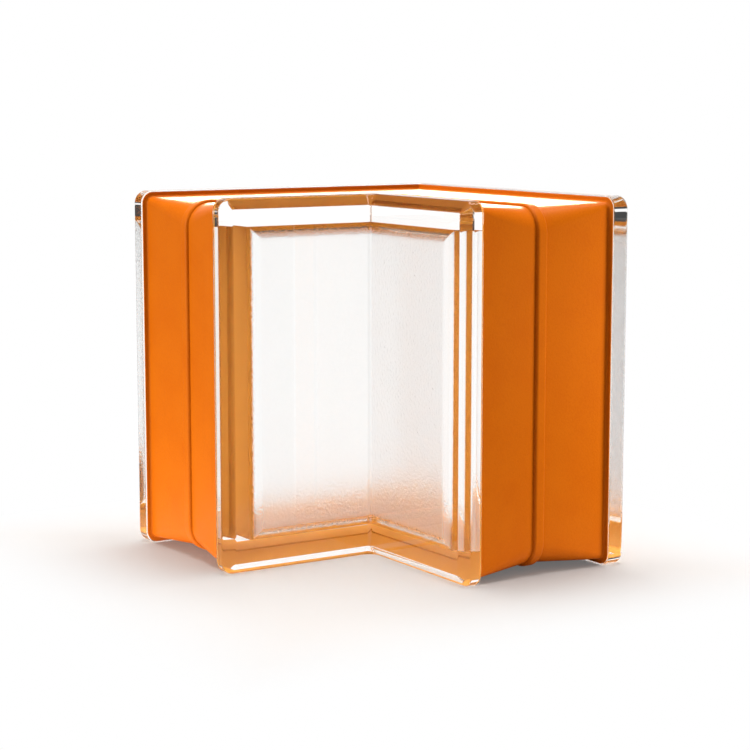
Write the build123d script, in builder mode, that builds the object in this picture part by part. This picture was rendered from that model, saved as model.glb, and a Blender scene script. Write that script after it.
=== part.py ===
"""Corner glass block: two pressed L-shaped glass halves fused into one hollow body, with a coloured edge coat.

Millimetres, +Z up. The block stands on its rims. The inner (concave) corner opens towards +X and -Y, one leg
runs along +X and the other along -Y, and the block is the same on both sides of the diagonal plane x = -y.
The origin is at the middle of the footprint, on the floor.
"""

import os
from build123d import *

# Overall sizes
block_height = 146.0
leg_length = 143.5  # along an outer face, from the outer corner to the leg's end
thickness = 77.5  # from an inner face to the outer face behind it

# Face plates: their rims stand out past the edge channel as lips. The inner faces have a bevel all round
lip_thickness = 8.0
lip_corner_radius = 5.0
lip_back_radius = 0.4
inner_bevel = 3.8
bevel_edge_radius = 1.2
inner_corner_radius = 1.5
outer_edge_radius = 2.5
outer_corner_radius = 4.0

# Edge channel: a short straight land beside each lip, then a slope down to the seam where the halves meet
step_depth = 2.8
step_corner_radius = 2.5
step_fillet_radius = 1.2
land_width = 2.4
seam_depth = 3.9
seam_share = 0.478  # of the thickness, from the inner face: the inner half is a little shallower
seam_corner_radius = 9.5

# Fusion bead along the seam
bead_width = 4.0
bead_height = 1.4
bead_round_share = 0.5  # of the bead's height

# Sealed cavity
plate_thickness = 7.0
cavity_recess = 11.5  # from the rims at the top and bottom to the cavity's side
cavity_end_recess = 14.5  # the same at the leg ends
cavity_fillet_radius = 5.5
cavity_inner_bend_radius = 3.0
cavity_outer_bend_radius = 9.0

# Coloured coat that lines the channel and the backs of the lips
coat_thickness = 0.4
coat_edge_margin = 1.4  # bare glass between the coat's edge and the rim of the lip

pick_tolerance = 0.01  # how far an edge or face may lie from the place where it is looked for

# Places that follow from the sizes. Depth is measured along +Y in the leg that runs along +X
outer_face = leg_length / 2
inner_face = outer_face - thickness
seam_plane = inner_face + thickness * seam_share
lip_backs = (inner_face + lip_thickness, outer_face - lip_thickness)
land_ends = (lip_backs[0] + land_width, lip_backs[1] - land_width)
cavity_floors = (inner_face + plate_thickness, outer_face - plate_thickness)
section_middle = (leg_length / 2, block_height / 2)
mitre = Plane(origin=(0, 0, 0), x_dir=(0, 0, 1), z_dir=(1, 1, 0))


def section(depth, recess, radius):
    """Rounded section across a straight leg, twice as long as the leg so that the mitre cuts through it."""
    with BuildSketch(Plane.back.offset(depth)) as outline:
        with Locations(section_middle):
            RectangleRounded(2 * (leg_length - recess), block_height - 2 * recess, radius)
    return outline.sketch


def slab(start, end, recess, radius):
    """Straight length of a leg between two depths, with one rounded section."""
    with BuildPart() as length:
        extrude(section(start, recess, radius), amount=end - start)
    return length.part


def flat_face(part, depth):
    """The flat face across a straight leg at one depth."""
    across = part.faces().filter_by(Axis.Y)
    return across.filter_by_position(Axis.Y, depth - pick_tolerance, depth + pick_tolerance)[0]


def corner_edge(part, depth):
    """The upright edge on the diagonal where two faces at one depth meet."""
    corner = Vector(-depth, depth, block_height / 2)
    return part.edges().filter_by(Axis.Z).sort_by_distance(corner)[0]


def face_outline(part, depth, bend_radius):
    """Edges round an L-shaped face at one depth, without the upright ends of its rounded bend."""
    corner = Vector(-depth, depth, 0)

    def on_outline(edge):
        middle = edge.center()
        along = edge.tangent_at(0)
        off_face = abs(max(middle.Y, -middle.X) - depth)
        in_bend = (Vector(middle.X, middle.Y, 0) - corner).length < 2 * bend_radius
        upright = abs(along.Z) > abs(along.X) + abs(along.Y)
        return off_face < bend_radius / 2 and not (in_bend and upright)

    return part.edges().filter_by(on_outline)


def channel_form(grow):
    """What stands between the two lips of a straight leg: lands, slopes and bead, thicker all round by grow."""
    with BuildPart() as form:
        seam_section = section(seam_plane, seam_depth - grow, seam_corner_radius + grow)
        for lip_back, land_end in zip(lip_backs, land_ends):
            add(slab(lip_back, land_end, step_depth - grow, step_corner_radius + grow))
            loft([section(land_end, step_depth - grow, step_corner_radius + grow), seam_section], ruled=True)
        bead_sides = (seam_plane - bead_width / 2 - grow, seam_plane + bead_width / 2 + grow)
        add(slab(*bead_sides, seam_depth - bead_height - grow, seam_corner_radius + bead_height + grow))
        for side in bead_sides:
            fillet(flat_face(form.part, side).outer_wire().edges(), bead_height * bead_round_share + grow)
    return form.part


with BuildPart() as glass_form:
    add(channel_form(0))
    for lip in ((inner_face, lip_backs[0]), (lip_backs[1], outer_face)):
        add(slab(*lip, 0, lip_corner_radius))
    for lip_back in lip_backs:
        fillet(flat_face(glass_form.part, lip_back).inner_wires()[0].edges(), step_fillet_radius)
        fillet(flat_face(glass_form.part, lip_back).outer_wire().edges(), lip_back_radius)
    split(bisect_by=mitre, keep=Keep.TOP)
    mirror(about=mitre)
    fillet(corner_edge(glass_form.part, inner_face), inner_corner_radius)
    fillet(corner_edge(glass_form.part, outer_face), outer_corner_radius)
    fillet(face_outline(glass_form.part, outer_face, outer_corner_radius), outer_edge_radius)
    chamfer(face_outline(glass_form.part, inner_face, inner_corner_radius), inner_bevel)
    for cut in (0, inner_bevel):
        bevel_edge = face_outline(glass_form.part, inner_face + cut, inner_corner_radius + cut)
        fillet(bevel_edge, bevel_edge_radius)

with BuildPart() as cavity:
    with BuildSketch(Plane.back.offset(cavity_floors[0])):
        with Locations(section_middle):
            Rectangle(2 * (leg_length - cavity_end_recess), block_height - 2 * cavity_recess)
    extrude(amount=cavity_floors[1] - cavity_floors[0])
    split(bisect_by=mitre, keep=Keep.TOP)
    mirror(about=mitre)
    fillet(corner_edge(cavity.part, cavity_floors[0]), cavity_inner_bend_radius)
    fillet(corner_edge(cavity.part, cavity_floors[1]), cavity_outer_bend_radius)
    fillet(face_outline(cavity.part, cavity_floors[0], cavity_inner_bend_radius), cavity_fillet_radius)
    fillet(face_outline(cavity.part, cavity_floors[1], cavity_outer_bend_radius), cavity_fillet_radius)

with BuildPart() as glass_body:
    add(glass_form.part)
    add(cavity.part, mode=Mode.SUBTRACT)

with BuildPart() as edge_coat:
    add(channel_form(coat_thickness))
    flange_fronts = (lip_backs[0] + coat_thickness, lip_backs[1] - coat_thickness)
    for flange in ((lip_backs[0], flange_fronts[0]), (flange_fronts[1], lip_backs[1])):
        add(slab(*flange, coat_edge_margin, lip_corner_radius - coat_edge_margin))
    for front in flange_fronts:
        fillet(flat_face(edge_coat.part, front).inner_wires()[0].edges(), step_fillet_radius - coat_thickness)
    split(bisect_by=mitre, keep=Keep.TOP)
    mirror(about=mitre)
    add(glass_form.part, mode=Mode.SUBTRACT)

os.makedirs("parts", exist_ok=True)
for name, piece in {"glass_body": glass_body, "edge_coat": edge_coat}.items():
    piece.part.label = name
    export_step(piece.part, f"parts/{name}.step")
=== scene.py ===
"""Looks of the corner glass block: clear pressed glass round a sealed cavity, with an orange coat in its edge channel.

Metres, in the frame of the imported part: +Z up, one leg along +X and the other along -Y. The concave corner between
the legs is turned towards the camera. Depth is measured from the inner faces into the glass, and recess from the
rims of the lips inwards.
"""

import logging
import math
from dataclasses import dataclass, replace
from enum import Enum

import bmesh
import bpy
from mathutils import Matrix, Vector


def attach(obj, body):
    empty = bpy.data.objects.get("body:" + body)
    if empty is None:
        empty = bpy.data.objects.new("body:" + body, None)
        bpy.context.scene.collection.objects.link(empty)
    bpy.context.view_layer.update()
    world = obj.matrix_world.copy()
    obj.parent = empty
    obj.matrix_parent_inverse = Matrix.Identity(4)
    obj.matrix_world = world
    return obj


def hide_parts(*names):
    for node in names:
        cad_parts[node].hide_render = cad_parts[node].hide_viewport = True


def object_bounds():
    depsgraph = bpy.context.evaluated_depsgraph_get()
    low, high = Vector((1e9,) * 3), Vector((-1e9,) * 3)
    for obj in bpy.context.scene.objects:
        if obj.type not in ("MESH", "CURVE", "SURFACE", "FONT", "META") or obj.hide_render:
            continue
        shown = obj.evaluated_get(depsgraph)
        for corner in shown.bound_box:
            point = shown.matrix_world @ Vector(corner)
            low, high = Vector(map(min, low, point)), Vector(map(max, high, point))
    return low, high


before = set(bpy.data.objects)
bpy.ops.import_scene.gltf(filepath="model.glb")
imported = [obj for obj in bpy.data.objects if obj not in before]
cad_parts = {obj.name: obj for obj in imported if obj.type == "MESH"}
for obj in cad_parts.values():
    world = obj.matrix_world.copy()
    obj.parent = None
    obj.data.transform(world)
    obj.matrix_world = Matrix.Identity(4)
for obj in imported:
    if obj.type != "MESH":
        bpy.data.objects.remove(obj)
cad_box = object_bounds()
log = logging.getLogger("glass_block")

Span = tuple[float, float]
Place = tuple[float, float, float]
Colour = tuple[float, float, float]
Paint = tuple[float, float, float, float]
Feed = bpy.types.NodeSocket | float | Paint

QUARTER_TURN = math.pi / 2
FULL_SPAN: Span = (0.0, 1.0)
WHITE: Colour = (1.0, 1.0, 1.0)
WHITE_LEVEL = 1.0


class Slot(Enum):
    """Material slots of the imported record."""

    CLEAR_GLASS = "clear_glass"
    ORANGE_COAT = "orange_coat"


@dataclass(frozen=True)
class Outline:
    """A closed line round the block at one depth, with its corner radius at the leg ends and its bend on the diagonal.

    The end inset is what is added to the recess at the leg ends. The mark is how far the surface there shows the
    second look of its finish.
    """

    depth: float
    recess: float
    corner: float
    bend: float
    end_inset: float = 0.0
    mark: float = 0.0


@dataclass(frozen=True)
class RimEdge:
    """An edge between a face and its rim: its depth, its recess and the radius that rounds it."""

    depth: float
    recess: float
    radius: float


def quarter_steps(segments: int) -> list[tuple[float, float]]:
    """Steps of a quarter turn.

    Args:
        segments: number of equal steps.

    Returns:
        Sine and cosine at each step, both ends included.
    """
    angles = [QUARTER_TURN * step / segments for step in range(segments + 1)]
    return [(math.sin(angle), math.cos(angle)) for angle in angles]


def soft_corner(before: Vector, corner: Vector, after: Vector, radius: float, segments: int) -> list[Vector]:
    """Rounds the corner of a flat path with an arc.

    Args:
        before: point ahead of the corner.
        corner: the sharp corner.
        after: point behind the corner.
        radius: radius of the arc.
        segments: number of equal steps along the arc.

    Returns:
        Points of the arc, from the first leg of the corner to the second.
    """
    arriving = (corner - before).normalized()
    leaving = (after - corner).normalized()
    turn = arriving.angle(leaving)
    start = corner - arriving * radius * math.tan(turn / 2)
    towards = (leaving - arriving * math.cos(turn)).normalized()
    points = []
    for step in range(segments + 1):
        angle = turn * step / segments
        points.append(start + arriving * radius * math.sin(angle) + towards * radius * (1 - math.cos(angle)))
    return points


def mix(start: float, end: float, share: float) -> float:
    """Value at a share of the way from start to end."""
    return start + (end - start) * share


def opaque(colour: Colour) -> Paint:
    """A colour with full cover, as shader sockets take it."""
    return (*colour, 1.0)


@dataclass(frozen=True)
class BlockSizes:
    """Sizes of the pressed block.

    They are those of the CAD solids, apart from the bevel of the inner faces, which is wider and shallower here.
    """

    half: float
    height: float
    thickness: float = 0.0775
    lip: float = 0.0080
    lip_corner: float = 0.0050
    lip_back_round: float = 0.0004
    bevel_width: float = 0.0044
    bevel_depth: float = 0.0033
    bevel_edge_round: float = 0.0012
    outer_edge_round: float = 0.0025
    inner_bend: float = 0.0015
    outer_bend: float = 0.0040
    step: float = 0.0028
    step_corner: float = 0.0025
    step_fillet: float = 0.0012
    land: float = 0.0024
    seam_depth: float = 0.0039
    seam_share: float = 0.478
    seam_corner: float = 0.0095
    bead_width: float = 0.0040
    bead_height: float = 0.0014
    bead_round_share: float = 0.5
    plate: float = 0.0070
    cavity_recess: float = 0.0115
    cavity_end_inset: float = 0.0030
    cavity_fillet: float = 0.0055
    cavity_inner_bend: float = 0.0030
    cavity_outer_bend: float = 0.0090
    crease: float = 0.0003
    flat_margin: float = 0.0010
    rim_steps: int = 8
    lip_back_steps: int = 4
    step_fillet_steps: int = 6
    slope_steps: int = 6
    bead_steps: int = 6
    cavity_steps: int = 16

    @property
    def seam(self) -> float:
        """Depth of the seam from the inner faces."""
        return self.thickness * self.seam_share

    def corners(self, line: Outline) -> list[Vector]:
        """The six sharp corners of an outline, in order.

        Args:
            line: the outline.

        Returns:
            Bottom of the +X leg's end, the fold and the -Y leg's end, then the same three at the top, in reverse.
        """
        fold = line.depth - self.thickness + self.half
        end = self.half - line.recess - line.end_inset
        plan = [(end, fold), (-fold, fold), (-fold, -end)]
        bottom = [Vector((x, y, line.recess)) for x, y in plan]
        top = [Vector((x, y, self.height - line.recess)) for x, y in reversed(plan)]
        return bottom + top

    def across(self, inner: list[Outline], outer: list[Outline]) -> list[Outline]:
        """Joins the lines of both halves, where the outer half's depths are measured from the outer faces."""
        turned = [replace(line, depth=self.thickness - line.depth) for line in outer]
        return inner + turned[::-1]

    def channel_half(self, seam: float, grow: float) -> list[Outline]:
        """Lines from a lip's back down the step, along the slope and up on to the bead.

        Args:
            seam: depth of the seam from this half's face.
            grow: how far the surface lies outside the bare glass.

        Returns:
            Outlines from the lip to the bead's crown.
        """
        fillet = self.step_fillet - grow
        fillet_depth = self.lip + grow + fillet
        fillet_recess = self.step - grow - fillet
        lines = []
        for sine, cosine in quarter_steps(self.step_fillet_steps):
            recess = fillet_recess + fillet * sine
            corner = self.step_corner + self.step - recess
            lines.append(Outline(fillet_depth - fillet * cosine, recess, corner, self.crease))
        land_end = self.lip + self.land
        base = seam - self.bead_width / 2 - grow
        for step in range(self.slope_steps + 1):
            depth = mix(land_end, base, step / self.slope_steps)
            share = (depth - land_end) / (seam - land_end)
            recess = mix(self.step, self.seam_depth, share) - grow
            corner = mix(self.step_corner, self.seam_corner, share) + grow
            lines.append(Outline(depth, recess, corner, self.crease))
        bead_round = self.bead_height * self.bead_round_share + grow
        crown = self.seam_depth - self.bead_height - grow
        for sine, cosine in quarter_steps(self.bead_steps):
            recess = crown + bead_round * (1 - sine)
            corner = self.seam_corner + self.seam_depth - recess
            lines.append(Outline(base + bead_round * (1 - cosine), recess, corner, self.crease))
        return lines

    def channel(self, grow: float, margins: tuple[float, float]) -> list[Outline]:
        """Lines right across the channel, from one flange edge to the other.

        Args:
            grow: how far the surface lies outside the bare glass.
            margins: where the flanges on the backs of the inner and outer lips end, from the rims.

        Returns:
            Outlines from the inner lip to the outer lip.
        """
        edges = [Outline(self.lip + grow, margin, self.lip_corner - margin, self.crease) for margin in margins]
        inner = edges[:1] + self.channel_half(self.seam, grow)
        outer = edges[1:] + self.channel_half(self.thickness - self.seam, grow)
        return self.across(inner, outer)

    def glass_half(self, seam: float, bend: float, bend_growth: int, edges: list[RimEdge]) -> list[Outline]:
        """Lines from a face over its rim and its lip, and on to the bead.

        Args:
            seam: depth of the seam from this half's face.
            bend: bend radius of the face on the diagonal.
            bend_growth: 1 where the bend gets wider with depth, -1 where it gets tighter.
            edges: the rounded edges between the face and the rim, in order.

        Returns:
            Outlines from the face to the bead's crown.
        """
        flat = Vector((0, edges[0].recess + edges[0].radius + self.flat_margin))
        path = [flat, *(Vector((edge.depth, edge.recess)) for edge in edges), Vector((self.lip, 0))]
        lines = [Outline(flat.x, flat.y, self.flat_margin, bend)]
        for edge, before, sharp, after in zip(edges, path, path[1:], path[2:]):
            for place in soft_corner(before, sharp, after, edge.radius, self.rim_steps):
                corner = max(self.lip_corner - place.y, self.crease)
                lines.append(Outline(place.x, place.y, corner, bend + bend_growth * place.x))
        for sine, cosine in quarter_steps(self.lip_back_steps):
            depth = self.lip - self.lip_back_round * (1 - sine)
            recess = self.lip_back_round * (1 - cosine)
            lines.append(Outline(depth, recess, self.lip_corner - recess, self.crease))
        return lines + self.channel_half(seam, 0)

    def glass(self) -> list[Outline]:
        """Lines of the whole outside.

        Returns:
            Outlines from the inner faces to the outer faces.
        """
        bevel = [
            RimEdge(0, self.bevel_width, self.bevel_edge_round),
            RimEdge(self.bevel_depth, 0, self.bevel_edge_round),
        ]
        inner = self.glass_half(self.seam, self.inner_bend, 1, bevel)
        round_edge = [RimEdge(0, 0, self.outer_edge_round)]
        outer = self.glass_half(self.thickness - self.seam, self.outer_bend, -1, round_edge)
        return self.across(inner, outer)

    def cavity_half(self, bend: float, bend_growth: int) -> list[Outline]:
        """Lines from a face plate's back round the fillet to the cavity's side.

        Args:
            bend: bend radius of the plate's back on the diagonal.
            bend_growth: 1 where the bend gets wider with depth, -1 where it gets tighter.

        Returns:
            Outlines from the plate to the side wall.
        """
        lines = []
        for sine, cosine in quarter_steps(self.cavity_steps):
            depth = self.cavity_fillet * (1 - cosine)
            inset = self.cavity_fillet * (1 - sine)
            recess = self.cavity_recess + inset
            bent = bend + bend_growth * depth
            line = Outline(self.plate + depth, recess, self.crease, bent, self.cavity_end_inset, mark=cosine)
            lines.append(line)
        return lines

    def cavity(self) -> list[Outline]:
        """Lines of the sealed cavity.

        Returns:
            Outlines from the inner plate's back to the outer plate's back.
        """
        inner = self.cavity_half(self.cavity_inner_bend, 1)
        outer = self.cavity_half(self.cavity_outer_bend, -1)
        return self.across(inner, outer)


class FoldedSkin:
    """A mesh whose faces span closed outlines of the folded block."""

    CORNER_SEGMENTS = 12
    BEND_SEGMENTS = 8
    SHARP_ANGLE = math.radians(40)

    def __init__(self, sizes: BlockSizes, mark: str) -> None:
        """Starts an empty mesh.

        Args:
            sizes: sizes of the block.
            mark: name of the attribute that keeps the outlines' marks.
        """
        self.sizes = sizes
        self.bm = bmesh.new()
        self.marks = self.bm.verts.layers.float.new(mark)

    def draw(self, line: Outline) -> list[bmesh.types.BMEdge]:
        """Draws one outline: six corners joined by edges, then rounded.

        Args:
            line: the outline.

        Returns:
            The edges of the closed line.
        """
        before = set(self.bm.edges)
        points = [self.bm.verts.new(place) for place in self.sizes.corners(line)]
        for start, end in zip(points, points[1:] + points[:1]):
            self.bm.edges.new((start, end))
        low_x, low_fold, low_y, high_y, high_fold, high_x = points
        self.round_off([low_x, low_y, high_y, high_x], line.corner, self.CORNER_SEGMENTS)
        self.round_off([low_fold, high_fold], line.bend, self.BEND_SEGMENTS)
        drawn = [edge for edge in self.bm.edges if edge not in before]
        for edge in drawn:
            for point in edge.verts:
                point[self.marks] = line.mark
        return drawn

    def round_off(self, points: list[bmesh.types.BMVert], radius: float, segments: int) -> None:
        """Rounds corners of a line with circular arcs of one radius."""
        bmesh.ops.bevel(
            self.bm, geom=points, offset=radius, offset_type="OFFSET", segments=segments, profile=0.5,
            affect="VERTICES", material=-1,
        )

    def wrap(self, lines: list[Outline], ring: bool) -> list[bmesh.types.BMFace]:
        """Spans faces from each outline to the next, and closes the skin.

        Args:
            lines: outlines in order.
            ring: whether the last outline joins the first; otherwise the first and the last are filled.

        Returns:
            The faces of the closed skin, pointing outwards.
        """
        before = set(self.bm.faces)
        loops = [self.draw(line) for line in lines]
        pairs = list(zip(loops, loops[1:]))
        if ring:
            pairs.append((loops[-1], loops[0]))
        for loop, following in pairs:
            for run, next_run in zip(self.runs(loop), self.runs(following)):
                bmesh.ops.bridge_loops(self.bm, edges=run + next_run)
        if not ring:
            for loop in (loops[0], loops[-1]):
                lower, upper = self.runs(loop)[:2]
                bmesh.ops.bridge_loops(self.bm, edges=lower + upper)
        faces = [face for face in self.bm.faces if face not in before]
        bmesh.ops.recalc_face_normals(self.bm, faces=faces)
        return faces

    def runs(self, loop: list[bmesh.types.BMEdge]) -> list[list[bmesh.types.BMEdge]]:
        """Splits a closed line into open runs.

        Args:
            loop: the edges of the line.

        Returns:
            The lower run, the upper run and the uprights at the ends of the -Y leg and the +X leg.
        """
        middle = self.sizes.height / 2
        lower = [edge for edge in loop if max(end.co.z for end in edge.verts) < middle]
        upper = [edge for edge in loop if min(end.co.z for end in edge.verts) > middle]
        uprights = [edge for edge in loop if edge not in lower and edge not in upper]
        uprights.sort(key=lambda edge: edge.verts[0].co.x)
        return [lower, upper, uprights[:1], uprights[1:]]

    def piece(self, name: str) -> bpy.types.Object:
        """Shades the skin smooth, keeps its creases sharp and makes it an object.

        Args:
            name: name of the piece.

        Returns:
            The new object, at the origin.
        """
        for face in self.bm.faces:
            face.smooth = True
        for edge in self.bm.edges:
            edge.smooth = edge.calc_face_angle(0.0) < self.SHARP_ANGLE
        mesh = bpy.data.meshes.new(name)
        self.bm.to_mesh(mesh)
        self.bm.free()
        made = bpy.data.objects.new(name, mesh)
        bpy.context.scene.collection.objects.link(made)
        flats = made.modifiers.new("keep_flats_flat", "WEIGHTED_NORMAL")
        flats.keep_sharp = True
        return made


class Blend(Enum):
    """What a mix of two inputs gives."""

    NUMBER = "FLOAT"
    COLOUR = "RGBA"


class NodeSheet:
    """Shader nodes of one material, world or group, added and wired by name."""

    def __init__(self, tree: bpy.types.NodeTree) -> None:
        """Starts on an empty node tree."""
        self.tree = tree
        self.tree.nodes.clear()

    def add(self, kind: str, **settings: object) -> bpy.types.Node:
        """Adds a node and sets its properties.

        Args:
            kind: Blender's name of the node type.
            settings: properties of the node.

        Returns:
            The new node.
        """
        node = self.tree.nodes.new(kind)
        for name, value in settings.items():
            setattr(node, name, value)
        return node

    def wire(self, source: bpy.types.NodeSocket, target: bpy.types.NodeSocket) -> None:
        """Joins an output to an input."""
        self.tree.links.new(source, target)

    def feed(self, value: Feed, target: bpy.types.NodeSocket) -> None:
        """Joins an output to an input, or sets the input to a plain value.

        Args:
            value: the output, or the value.
            target: the input.
        """
        if isinstance(value, bpy.types.NodeSocket):
            self.wire(value, target)
        else:
            target.default_value = value

    def maths(self, operation: str, first: Feed, second: Feed) -> bpy.types.NodeSocket:
        """Adds a Math node.

        Args:
            operation: the Math node's operation.
            first: first input.
            second: second input.

        Returns:
            The result's socket.
        """
        node = self.add("ShaderNodeMath", operation=operation)
        self.feed(first, node.inputs[0])
        self.feed(second, node.inputs[1])
        return node.outputs["Value"]

    def blend(self, share: Feed, first: Feed, second: Feed, kind: Blend = Blend.NUMBER) -> bpy.types.NodeSocket:
        """Adds a mix of two numbers or two colours.

        Args:
            share: how much of the second input there is.
            first: first input.
            second: second input.
            kind: what is mixed.

        Returns:
            The result's socket.
        """
        node = self.add("ShaderNodeMix", data_type=kind.value)
        for value, name in ((share, "Factor"), (first, "A"), (second, "B")):
            self.feed(value, node.inputs[name])
        return node.outputs["Result"]

    def ramp(self, value: bpy.types.NodeSocket, given: Span, made: Span) -> bpy.types.NodeSocket:
        """Adds a soft ramp from one range of values to another.

        Args:
            value: the socket to map.
            given: where the ramp starts and ends.
            made: what it gives at its start and its end.

        Returns:
            The result's socket.
        """
        node = self.add("ShaderNodeMapRange", interpolation_type="SMOOTHSTEP")
        self.wire(value, node.inputs["Value"])
        for name, number in zip(("From Min", "From Max", "To Min", "To Max"), given + made):
            node.inputs[name].default_value = number
        return node.outputs["Result"]

    def bump(self, height: bpy.types.NodeSocket, strength: float, distance: float) -> bpy.types.NodeSocket:
        """Adds a bump.

        Args:
            height: the pattern, from 0 to 1.
            strength: how much of the bump shows.
            distance: height of the pattern in metres.

        Returns:
            The socket of the bent normal.
        """
        node = self.add("ShaderNodeBump")
        node.inputs["Strength"].default_value = strength
        node.inputs["Distance"].default_value = distance
        self.wire(height, node.inputs["Height"])
        return node.outputs["Normal"]

    def glow(self, strength: bpy.types.NodeSocket) -> bpy.types.NodeSocket:
        """Adds white emission.

        Args:
            strength: its strength.

        Returns:
            The shader's socket.
        """
        node = self.add("ShaderNodeEmission")
        self.wire(strength, node.inputs["Strength"])
        return node.outputs["Emission"]

    def both(self, first: bpy.types.NodeSocket, second: bpy.types.NodeSocket) -> bpy.types.NodeSocket:
        """Adds two shaders together.

        Args:
            first: first shader.
            second: second shader.

        Returns:
            The socket of their sum.
        """
        node = self.add("ShaderNodeAddShader")
        self.wire(first, node.inputs[0])
        self.wire(second, node.inputs[1])
        return node.outputs["Shader"]

    def finish(self, shader: bpy.types.NodeSocket, output: str = "ShaderNodeOutputMaterial") -> None:
        """Adds the output node and gives it the finished shader."""
        self.wire(shader, self.add(output).inputs["Surface"])


def new_material(name: str) -> tuple[bpy.types.Material, NodeSheet]:
    """Starts a material.

    Args:
        name: name of the material.

    Returns:
        The material and its empty node sheet.
    """
    made = bpy.data.materials.new(name)
    made.use_nodes = True
    return made, NodeSheet(made.node_tree)


class FineGrain:
    """Shared surface effect: fine rounded pimples and a slower unevenness, on Object coordinates."""

    NAME = "fine_grain"
    PIMPLE_DETAIL = 1.0
    PATCH_DETAIL = 3.0

    def __init__(self) -> None:
        """Builds the group once."""
        self.group = bpy.data.node_groups.new(self.NAME, "ShaderNodeTree")
        layers = (("Pimple Scale", "Pimples", self.PIMPLE_DETAIL), ("Patch Scale", "Patches", self.PATCH_DETAIL))
        for scale, output, _ in layers:
            self.group.interface.new_socket(scale, in_out="INPUT", socket_type="NodeSocketFloat")
            self.group.interface.new_socket(output, in_out="OUTPUT", socket_type="NodeSocketFloat")
        sheet = NodeSheet(self.group)
        given = sheet.add("NodeGroupInput")
        result = sheet.add("NodeGroupOutput")
        place = sheet.add("ShaderNodeTexCoord")
        for scale, output, detail in layers:
            noise = sheet.add("ShaderNodeTexNoise", noise_dimensions="3D")
            noise.inputs["Detail"].default_value = detail
            sheet.wire(place.outputs["Object"], noise.inputs["Vector"])
            sheet.wire(given.outputs[scale], noise.inputs["Scale"])
            sheet.wire(noise.outputs["Fac"], result.inputs[output])

    def place(self, sheet: NodeSheet, scales: dict[str, float]) -> bpy.types.Node:
        """Adds the group to a material.

        Args:
            sheet: the material's nodes.
            scales: grains per metre, by the names of the group's inputs.

        Returns:
            The group node.
        """
        node = sheet.add("ShaderNodeGroup", node_tree=self.group)
        for name, scale in scales.items():
            node.inputs[name].default_value = scale
        return node


@dataclass(frozen=True)
class PressedGlass:
    """Clear pressed glass: fire-polished outside, with a fine pebbled skin inside the cavity."""

    name: str = "clear_pressed_glass"
    tint: Colour = (0.993, 0.997, 0.995)
    refraction: float = 1.52
    satin: float = 0.28
    pimple_scale: float = 800.0
    pebble_strength: float = 0.6
    pebble_height: float = 0.00025

    def material(self, grain: FineGrain, mask: str) -> bpy.types.Material:
        """Makes the glass.

        Args:
            grain: the shared surface effect.
            mask: name of the attribute that is 1 on the backs of the face plates.

        Returns:
            The material.
        """
        made, sheet = new_material(self.name)
        glass = sheet.add("ShaderNodeBsdfPrincipled")
        glass.inputs["Base Color"].default_value = opaque(self.tint)
        glass.inputs["IOR"].default_value = self.refraction
        glass.inputs["Transmission Weight"].default_value = 1.0
        skin = grain.place(sheet, {"Pimple Scale": self.pimple_scale})
        inside = sheet.add("ShaderNodeAttribute", attribute_name=mask).outputs["Fac"]
        sheet.wire(sheet.maths("MULTIPLY", inside, self.satin), glass.inputs["Roughness"])
        pebbles = sheet.maths("MULTIPLY", skin.outputs["Pimples"], inside)
        sheet.wire(sheet.bump(pebbles, self.pebble_strength, self.pebble_height), glass.inputs["Normal"])
        sheet.finish(glass.outputs["BSDF"])
        return made


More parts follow.
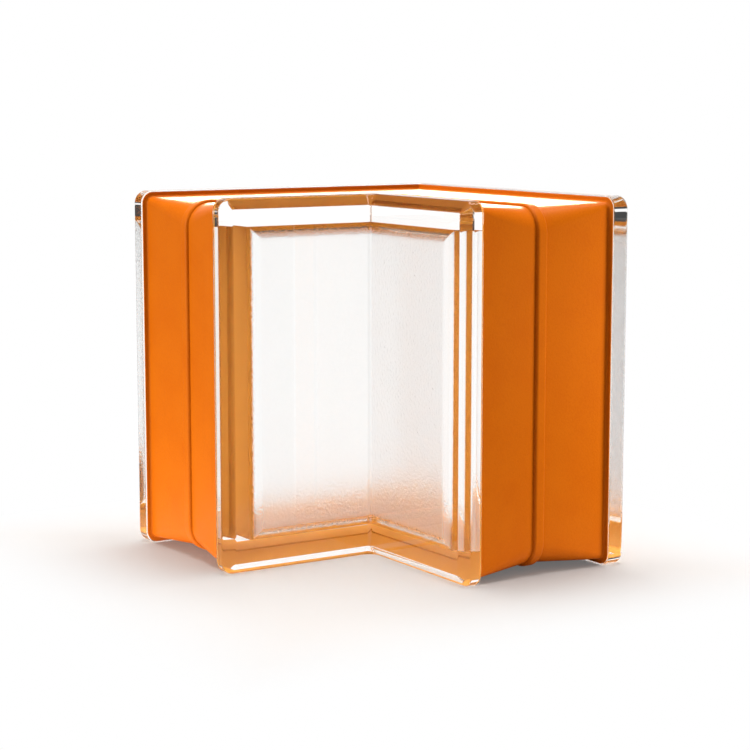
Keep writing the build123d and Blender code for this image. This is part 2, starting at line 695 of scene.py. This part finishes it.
@dataclass(frozen=True)
class OrangeLacquer:
    """Opaque satin orange lacquer, sprayed, with a fine grain and slightly uneven cover.

    The inner colour is that of the film against the glass, where it has no gloss of its own; it is painted paler and
    brighter than the outside, as painted light for the light that reaches the film through the glass. The bounce
    colour is what the film gives to the light that it throws on its surroundings.
    """

    name: str = "orange_edge_lacquer"
    full_colour: Colour = (0.90, 0.195, 0.003)
    thin_colour: Colour = (0.84, 0.160, 0.002)
    cover_gain: float = 3.0
    bounce_colour: Colour = (0.40, 0.14, 0.04)
    inner_painted_light_colour: Colour = (0.97, 0.42, 0.07)
    gloss: float = 0.12
    roughness: Span = (0.36, 0.44)
    inner_roughness: float = 1.0
    pimple_scale: float = 1400.0
    patch_scale: float = 70.0
    grain_strength: float = 0.3
    grain_height: float = 0.0002

    def colour(
        self, sheet: NodeSheet, skin: bpy.types.Node, against: bpy.types.NodeSocket,
    ) -> bpy.types.NodeSocket:
        """Mixes the colour of the film.

        Args:
            sheet: the material's nodes.
            skin: the surface effect's node.
            against: 1 where the film lies against the glass.

        Returns:
            The colour's socket.
        """
        cover = sheet.maths("MULTIPLY", skin.outputs["Pimples"], skin.outputs["Patches"])
        even_cover = sheet.maths("MULTIPLY", cover, self.cover_gain)
        outside = sheet.blend(even_cover, opaque(self.thin_colour), opaque(self.full_colour), Blend.COLOUR)
        # The film's side against the glass gets a paler, brighter orange: painted light for the light that reaches it
        # through the glass
        both_sides = sheet.blend(against, outside, opaque(self.inner_painted_light_colour), Blend.COLOUR)
        path = sheet.add("ShaderNodeLightPath")
        return sheet.blend(path.outputs["Is Diffuse Ray"], both_sides, opaque(self.bounce_colour), Blend.COLOUR)

    def material(self, grain: FineGrain, mask: str) -> bpy.types.Material:
        """Makes the lacquer.

        Args:
            grain: the shared surface effect.
            mask: name of the attribute that is 1 where the film lies against the glass.

        Returns:
            The material.
        """
        made, sheet = new_material(self.name)
        coat = sheet.add("ShaderNodeBsdfPrincipled")
        coat.inputs["Specular IOR Level"].default_value = self.gloss
        skin = grain.place(sheet, {"Pimple Scale": self.pimple_scale, "Patch Scale": self.patch_scale})
        against = sheet.add("ShaderNodeAttribute", attribute_name=mask).outputs["Fac"]
        sheet.wire(self.colour(sheet, skin, against), coat.inputs["Base Color"])
        satin = sheet.ramp(skin.outputs["Patches"], FULL_SPAN, self.roughness)
        sheet.wire(sheet.blend(against, satin, self.inner_roughness), coat.inputs["Roughness"])
        grained = sheet.bump(skin.outputs["Pimples"], self.grain_strength, self.grain_height)
        sheet.wire(grained, coat.inputs["Normal"])
        sheet.finish(coat.outputs["BSDF"])
        return made


@dataclass(frozen=True)
class GlassBody:
    """The hollow glass: the outside skin and the cavity's skin in one piece."""

    sizes: BlockSizes
    finish: PressedGlass
    name: str = "pressed_glass_block"
    plate_mask: str = "plate_back"

    def build(self) -> bpy.types.Object:
        """Makes the piece.

        Returns:
            The glass object, in place of the CAD body.
        """
        skin = FoldedSkin(self.sizes, self.plate_mask)
        skin.wrap(self.sizes.glass(), ring=False)
        walls = skin.wrap(self.sizes.cavity(), ring=False)
        bmesh.ops.reverse_faces(skin.bm, faces=walls)
        piece = skin.piece(self.name)
        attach(piece, "root")
        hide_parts("glass_body")
        return piece

    def dress(self, piece: bpy.types.Object, grain: FineGrain) -> None:
        """Gives the piece its glass."""
        piece.data.materials.append(self.finish.material(grain, self.plate_mask))


@dataclass(frozen=True)
class EdgeCoat:
    """The lacquer that lines the channel and the lips' backs, in optical contact with the glass.

    The film reaches a little way into the glass, so that no air is left between the two. Its edge margins are
    measured from the rims of the inner and the outer lips.
    """

    sizes: BlockSizes
    finish: OrangeLacquer
    name: str = "orange_edge_coat"
    thickness: float = 0.0004
    contact: float = 0.0001
    edge_margins: Span = (0.0014, 0.0005)
    glass_mask: str = "against_glass"

    def build(self) -> bpy.types.Object:
        """Makes the piece as a closed ring of film.

        Returns:
            The coat object, in place of the CAD coat.
        """
        outside = self.sizes.channel(self.thickness, self.edge_margins)
        touching = self.sizes.channel(-self.contact, self.edge_margins)
        underside = [replace(line, mark=1.0) for line in touching]
        skin = FoldedSkin(self.sizes, self.glass_mask)
        film = skin.wrap(outside + underside[::-1], ring=True)
        # On a thin ring the recalculated normals can point into the film
        if skin.bm.calc_volume(signed=True) < 0:
            bmesh.ops.reverse_faces(skin.bm, faces=film)
        piece = skin.piece(self.name)
        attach(piece, "root")
        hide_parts("edge_coat")
        return piece

    def dress(self, piece: bpy.types.Object, grain: FineGrain) -> None:
        """Gives the piece its lacquer."""
        piece.data.materials.append(self.finish.material(grain, self.glass_mask))


class Lit(Enum):
    """What a lamp lights."""

    EVERYTHING = "everything"
    BLOCK = "block"
    COAT = "coat"


@dataclass(frozen=True)
class SoftLamp:
    """A square soft box aimed at the middle of the block, hidden from what is seen through the glass."""

    name: str
    place: Place
    side: float
    power: float
    colour: Colour = WHITE
    lights: Lit = Lit.EVERYTHING
    mirrored: bool = True

    def build(self, target: Vector, receivers: dict[Lit, bpy.types.Collection]) -> None:
        """Makes the lamp.

        Args:
            target: the point it is turned to.
            receivers: the pieces of each thing that lamps can be kept to.
        """
        light = bpy.data.lights.new(self.name, "AREA")
        light.shape = "SQUARE"
        light.size = self.side
        light.energy = self.power
        light.color = self.colour
        lamp = bpy.data.objects.new(self.name, light)
        lamp.location = self.place
        lamp.rotation_euler = (target - Vector(self.place)).to_track_quat("-Z", "Y").to_euler()
        lamp.visible_transmission = False
        lamp.visible_glossy = self.mirrored
        if self.lights in receivers:
            lamp.light_linking.receiver_collection = receivers[self.lights]
        bpy.context.scene.collection.objects.link(lamp)


@dataclass(frozen=True)
class Studio:
    """White studio: floor, surroundings, soft boxes and camera.

    The floor is matt near the block, where it takes the shadow, and fades to plain white. A pool of light on it
    stands for what a bright floor throws up at the end of the left leg.
    """

    floor_half: float = 4.0
    floor_glow: float = 0.13
    floor_colour: Colour = (0.90, 0.88, 0.86)
    floor_fade: Span = (0.075, 0.150)
    pool_place: Place = (-0.03, -0.15, 0.0)
    pool_reach: Span = (0.05, 0.13)
    pool_level: float = 1.2
    fill_level: float = 0.22
    fill_colour: Colour = (1.0, 0.86, 0.78)
    through_level: float = 3.3
    glass_level: float = 1.12
    room_level: float = 0.06
    backdrop_reach: Span = (0.60, 0.90)
    lamps: tuple[SoftLamp, ...] = (
        SoftLamp("top_box", place=(-0.10, 0.10, 1.10), side=0.9, power=11.0),
        SoftLamp(
            "back_box", place=(-0.90, 0.57, 0.45), side=0.6, power=26.0, colour=(1.0, 0.90, 0.66), lights=Lit.COAT,
        ),
        SoftLamp("left_box", place=(-0.20, -1.17, 0.35), side=0.6, power=7.6, lights=Lit.BLOCK),
        SoftLamp("right_card", place=(0.20, 0.18, 0.09), side=0.1, power=0.28, lights=Lit.BLOCK, mirrored=False),
    )
    max_bounces: int = 40
    glossy_bounces: int = 24
    transmission_bounces: int = 32
    camera_place: Place = (0.67217, -0.42807, 0.18513)
    camera_turn: float = 57.50
    camera_pitch: float = 8.02
    camera_focal_pixels: float = 1996.4
    camera_near: float = 0.01
    picture_pixels: float = 750.0
    sensor_width: float = 36.0

    def floor_paint(self) -> bpy.types.Material:
        """Makes the floor's white.

        Returns:
            The material.
        """
        made, sheet = new_material("studio_floor_white")
        path = sheet.add("ShaderNodeLightPath")
        place = sheet.add("ShaderNodeTexCoord").outputs["Object"]
        seen = sheet.maths("MAXIMUM", path.outputs["Is Camera Ray"], path.outputs["Is Transmission Ray"])
        matt = sheet.add("ShaderNodeBsdfDiffuse")
        matt.inputs["Color"].default_value = opaque(self.floor_colour)
        near = sheet.both(matt.outputs["BSDF"], sheet.glow(sheet.maths("MULTIPLY", seen, self.floor_glow)))
        unseen = sheet.blend(path.outputs["Is Glossy Ray"], self.fill_level, self.room_level)
        shown = sheet.blend(path.outputs["Is Transmission Ray"], WHITE_LEVEL, self.glass_level)
        far = sheet.glow(sheet.blend(seen, unseen, shown))
        sides = sheet.add("ShaderNodeVectorMath", operation="ABSOLUTE")
        sheet.wire(place, sides.inputs[0])
        split = sheet.add("ShaderNodeSeparateXYZ")
        sheet.wire(sides.outputs["Vector"], split.inputs["Vector"])
        distance = sheet.maths("MAXIMUM", split.outputs["X"], split.outputs["Y"])
        whole = sheet.add("ShaderNodeMixShader")
        sheet.wire(sheet.ramp(distance, self.floor_fade, FULL_SPAN), whole.inputs["Fac"])
        sheet.wire(near, whole.inputs[1])
        sheet.wire(far, whole.inputs[2])
        off_pool = sheet.add("ShaderNodeVectorMath", operation="DISTANCE")
        off_pool.inputs[1].default_value = self.pool_place
        sheet.wire(place, off_pool.inputs[0])
        bounce = sheet.ramp(off_pool.outputs["Value"], self.pool_reach, (self.pool_level, 0.0))
        pool = sheet.glow(sheet.maths("MULTIPLY", bounce, path.outputs["Is Diffuse Ray"]))
        sheet.finish(sheet.both(whole.outputs["Shader"], pool))
        return made

    def floor(self) -> None:
        """Makes the pale floor, which keeps the block's shadow."""
        bm = bmesh.new()
        bmesh.ops.create_grid(bm, x_segments=1, y_segments=1, size=self.floor_half)
        mesh = bpy.data.meshes.new("studio_floor")
        bm.to_mesh(mesh)
        bm.free()
        mesh.materials.append(self.floor_paint())
        made = bpy.data.objects.new("studio_floor", mesh)
        bpy.context.scene.collection.objects.link(made)

    def surroundings(self) -> None:
        """Makes the world: a white backdrop behind the block, a dim room elsewhere and a plain fill for lighting."""
        world = bpy.data.worlds.new("white_studio")
        world.use_nodes = True
        bpy.context.scene.world = world
        sheet = NodeSheet(world.node_tree)
        path = sheet.add("ShaderNodeLightPath")
        turn = math.radians(self.camera_turn)
        way = sheet.add("ShaderNodeTexCoord")
        ahead = sheet.add("ShaderNodeVectorMath", operation="DOT_PRODUCT")
        ahead.inputs[1].default_value = (-math.sin(turn), math.cos(turn), 0.0)
        sheet.wire(way.outputs["Generated"], ahead.inputs[0])
        backdrop = sheet.ramp(ahead.outputs["Value"], self.backdrop_reach, (self.room_level, WHITE_LEVEL))
        glossy = sheet.blend(path.outputs["Is Glossy Ray"], self.fill_level, backdrop)
        bright = sheet.maths("MULTIPLY", backdrop, self.glass_level)
        mirrored = sheet.blend(path.outputs["Is Transmission Ray"], glossy, bright)
        direct = sheet.blend(path.outputs["Is Camera Ray"], mirrored, WHITE_LEVEL)
        lit_through = sheet.maths("MINIMUM", path.outputs["Diffuse Depth"], path.outputs["Is Transmission Ray"])
        level = sheet.blend(sheet.maths("MINIMUM", lit_through, 1.0), direct, self.through_level)
        tone = sheet.blend(path.outputs["Is Diffuse Ray"], opaque(WHITE), opaque(self.fill_colour), Blend.COLOUR)
        sky = sheet.add("ShaderNodeBackground")
        sheet.wire(tone, sky.inputs["Color"])
        sheet.wire(level, sky.inputs["Strength"])
        sheet.finish(sky.outputs["Background"], "ShaderNodeOutputWorld")

    def camera(self) -> None:
        """Makes the camera at the photograph's viewing angle."""
        lens = bpy.data.cameras.new("photo_camera")
        lens.sensor_width = self.sensor_width
        lens.lens = self.camera_focal_pixels / self.picture_pixels * self.sensor_width
        lens.clip_start = self.camera_near
        made = bpy.data.objects.new("photo_camera", lens)
        made.location = self.camera_place
        tilt = QUARTER_TURN - math.radians(self.camera_pitch)
        made.rotation_euler = (tilt, 0.0, math.radians(self.camera_turn))
        bpy.context.scene.collection.objects.link(made)
        bpy.context.scene.camera = made

    def build(self, target: Vector, pieces: dict[Lit, list[bpy.types.Object]]) -> None:
        """Sets the whole studio up.

        Args:
            target: the point that the lamps are turned to.
            pieces: the pieces of each thing that lamps can be kept to.
        """
        self.floor()
        self.surroundings()
        receivers = {}
        for lit, members in pieces.items():
            receivers[lit] = bpy.data.collections.new(lit.value)
            for piece in members:
                receivers[lit].objects.link(piece)
        for lamp in self.lamps:
            lamp.build(target, receivers)
        self.camera()
        scene = bpy.context.scene
        scene.cycles.max_bounces = self.max_bounces
        scene.cycles.glossy_bounces = self.glossy_bounces
        scene.cycles.transmission_bounces = self.transmission_bounces
        scene.view_settings.view_transform = "Standard"


def main() -> None:
    """Builds the block, dresses it and sets up the studio."""
    logging.basicConfig(level=logging.INFO)
    low, high = cad_box
    sizes = BlockSizes(half=high.x, height=high.z)
    grain = FineGrain()
    pieces = []
    for part in (GlassBody(sizes, PressedGlass()), EdgeCoat(sizes, OrangeLacquer())):
        piece = part.build()
        part.dress(piece, grain)
        log.info("%s: %d faces", piece.name, len(piece.data.polygons))
        pieces.append(piece)
    Studio().build((low + high) / 2, {Lit.BLOCK: pieces, Lit.COAT: pieces[1:]})


if __name__ == "__main__":
    main()
